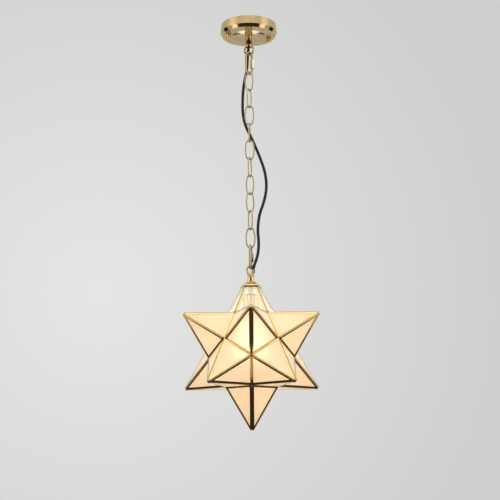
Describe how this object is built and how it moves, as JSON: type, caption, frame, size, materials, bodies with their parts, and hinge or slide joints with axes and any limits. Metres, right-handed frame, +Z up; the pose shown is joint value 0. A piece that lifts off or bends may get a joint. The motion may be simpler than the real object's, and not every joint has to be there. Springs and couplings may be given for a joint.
{
  "type": "moravian star pendant",
  "caption": "Leaded glass star pendant lamp hung from a round ceiling canopy by a link chain, with the cord beside the chain.",
  "frame": {"origin": "midway between the crossbar's two box screws, on its top face, which lies in the ceiling's plane with the canopy's rim", "axes": "+Z up into the ceiling, the drop hangs down -Z, and -Y is the front that the picture shows"},
  "size_m": [0.2716, 0.2846, 0.8521],
  "materials": {
    "polished_brass": "polished, lacquered",
    "solder": "brass-plated solder, satin",
    "frosted_glass": "frosted, warm cream",
    "clear_glass": "clear",
    "black_cord": "matt jacket",
    "grey_core": "grey sleeve",
    "black_plastic": "moulded",
    "orange_plastic": "moulded",
    "zinc_steel": "zinc-plated",
    "green_screw": "green",
    "fibre_liner": "vulcanised fibre",
    "brass_plain": "plain",
    "lamp_aluminium": "rolled",
    "lamp_glass": "frosted, lit"
  },
  "bodies": {
    "canopy": {"canopy_shell": "polished_brass", "crossbar": "zinc_steel", "ground_screw": "green_screw", "canopy_studs": "brass_plain", "stud_locknuts": "zinc_steel", "canopy_washer": "zinc_steel", "canopy_locknut": "zinc_steel", "canopy_nipple": "zinc_steel", "cord_bush": "black_plastic", "canopy_loop": "polished_brass", "cord": "black_cord", "supply_leads": "grey_core", "wire_connectors": "orange_plastic"},
    "thumb_nut_left": {"thumb_nut_left": "polished_brass"},
    "thumb_nut_right": {"thumb_nut_right": "polished_brass"},
    "upper_quick_link": {"quick_link_upper": "polished_brass"},
    "upper_sleeve": {"quick_link_sleeve_upper": "polished_brass"},
    "link_01": {"chain_link_01": "polished_brass"},
    "link_02": {"chain_link_02": "polished_brass"},
    "link_03": {"chain_link_03": "polished_brass"},
    "link_04": {"chain_link_04": "polished_brass"},
    "link_05": {"chain_link_05": "polished_brass"},
    "link_06": {"chain_link_06": "polished_brass"},
    "link_07": {"chain_link_07": "polished_brass"},
    "link_08": {"chain_link_08": "polished_brass"},
    "link_09": {"chain_link_09": "polished_brass"},
    "link_10": {"chain_link_10": "polished_brass"},
    "lower_quick_link": {"quick_link_lower": "polished_brass"},
    "lower_sleeve": {"quick_link_sleeve_lower": "polished_brass"},
    "star": {"star_loop": "polished_brass", "star_nipple": "zinc_steel", "star_cap": "polished_brass", "cap_locknut": "zinc_steel", "cord_core": "grey_core", "ridge_solder": "solder", "tip_solder": "solder", "socket_cap": "polished_brass", "socket_shell": "polished_brass", "socket_liner": "fibre_liner", "socket_screw_shell": "brass_plain", "socket_contact": "brass_plain", "cames_top": "polished_brass", "cames_upper": "polished_brass", "cames_lower": "polished_brass", "cames_bottom": "polished_brass", "panes_top": "clear_glass", "panes_upper_1": "frosted_glass", "panes_upper_2": "frosted_glass", "panes_upper_3": "frosted_glass", "panes_upper_4": "frosted_glass", "panes_upper_5": "frosted_glass", "panes_lower_1": "frosted_glass", "panes_lower_2": "frosted_glass", "panes_lower_3": "frosted_glass", "panes_lower_4": "frosted_glass", "panes_lower_5": "frosted_glass", "panes_bottom": "frosted_glass"},
    "lamp": {"lamp_base": "lamp_aluminium", "lamp_globe": "lamp_glass", "lamp_contact": "brass_plain"}
  },
  "joints": [
    {"name": "upper_quick_link_swing", "type": "hinge", "parent": "canopy", "child": "upper_quick_link", "pos_m": [0, 0, -0.06505], "axis": [0.9659, -0.2588, 0], "range_deg": [-12, 12], "deforming": ["cord"]},
    {"name": "link_01_swing", "type": "hinge", "parent": "upper_quick_link", "child": "link_01", "pos_m": [0, 0, -0.10775], "axis": [0.766, 0.6428, 0], "range_deg": [-12, 12], "deforming": ["cord"]},
    {"name": "link_02_swing", "type": "hinge", "parent": "link_01", "child": "link_02", "pos_m": [0, 0, -0.1444], "axis": [0.891, -0.454, 0], "range_deg": [-12, 12], "deforming": ["cord"]},
    {"name": "link_03_swing", "type": "hinge", "parent": "link_02", "child": "link_03", "pos_m": [0, 0, -0.18185], "axis": [0.4695, 0.8829, 0], "range_deg": [-12, 12], "deforming": ["cord"]},
    {"name": "link_04_swing", "type": "hinge", "parent": "link_03", "child": "link_04", "pos_m": [0, 0, -0.2193], "axis": [0.9962, -0.0872, 0], "range_deg": [-12, 12], "deforming": ["cord"]},
    {"name": "link_05_swing", "type": "hinge", "parent": "link_04", "child": "link_05", "pos_m": [0, 0, -0.25675], "axis": [0.1392, 0.9903, 0], "range_deg": [-12, 12], "deforming": ["cord"]},
    {"name": "link_06_swing", "type": "hinge", "parent": "link_05", "child": "link_06", "pos_m": [0, 0, -0.2942], "axis": [0.9976, -0.0698, 0], "range_deg": [-12, 12], "deforming": ["cord"]},
    {"name": "link_07_swing", "type": "hinge", "parent": "link_06", "child": "link_07", "pos_m": [0, 0, -0.33165], "axis": [0.3584, 0.9336, 0], "range_deg": [-12, 12], "deforming": ["cord"]},
    {"name": "link_08_swing", "type": "hinge", "parent": "link_07", "child": "link_08", "pos_m": [0, 0, -0.3691], "axis": [0.848, -0.5299, 0], "range_deg": [-12, 12], "deforming": ["cord"]},
    {"name": "link_09_swing", "type": "hinge", "parent": "link_08", "child": "link_09", "pos_m": [0, 0, -0.40655], "axis": [0.848, 0.5299, 0], "range_deg": [-12, 12], "deforming": ["cord"]},
    {"name": "link_10_swing", "type": "hinge", "parent": "link_09", "child": "link_10", "pos_m": [0, 0, -0.444], "axis": [0.4384, -0.8988, 0], "range_deg": [-12, 12], "deforming": ["cord"]},
    {"name": "lower_quick_link_swing", "type": "hinge", "parent": "link_10", "child": "lower_quick_link", "pos_m": [0, 0, -0.48145], "axis": [1, 0, 0], "range_deg": [-12, 12], "deforming": ["cord"]},
    {"name": "star_swing", "type": "hinge", "parent": "lower_quick_link", "child": "star", "pos_m": [0, 0, -0.5248], "axis": [0.2079, 0.9781, 0], "range_deg": [-12, 12], "deforming": ["cord"]},
    {"name": "upper_sleeve_slide", "type": "slide", "parent": "upper_quick_link", "child": "upper_sleeve", "axis": [0, 0, -1], "range_m": [0, 0.0065]},
    {"name": "lower_sleeve_slide", "type": "slide", "parent": "lower_quick_link", "child": "lower_sleeve", "axis": [0, 0, -1], "range_m": [0, 0.0065]},
    {"name": "thumb_nut_left_turn", "type": "hinge", "parent": "canopy", "child": "thumb_nut_left", "pos_m": [-0.04239, -0.01337, -0.0277], "axis": [0, 0, 1], "continuous": true},
    {"name": "thumb_nut_right_turn", "type": "hinge", "parent": "canopy", "child": "thumb_nut_right", "pos_m": [0.04239, 0.01337, -0.0277], "axis": [0, 0, 1], "continuous": true},
    {"name": "lamp_turn", "type": "hinge", "parent": "star", "child": "lamp", "pos_m": [0, 0, -0.61805], "axis": [0, 0, 1], "continuous": true}
  ]
}
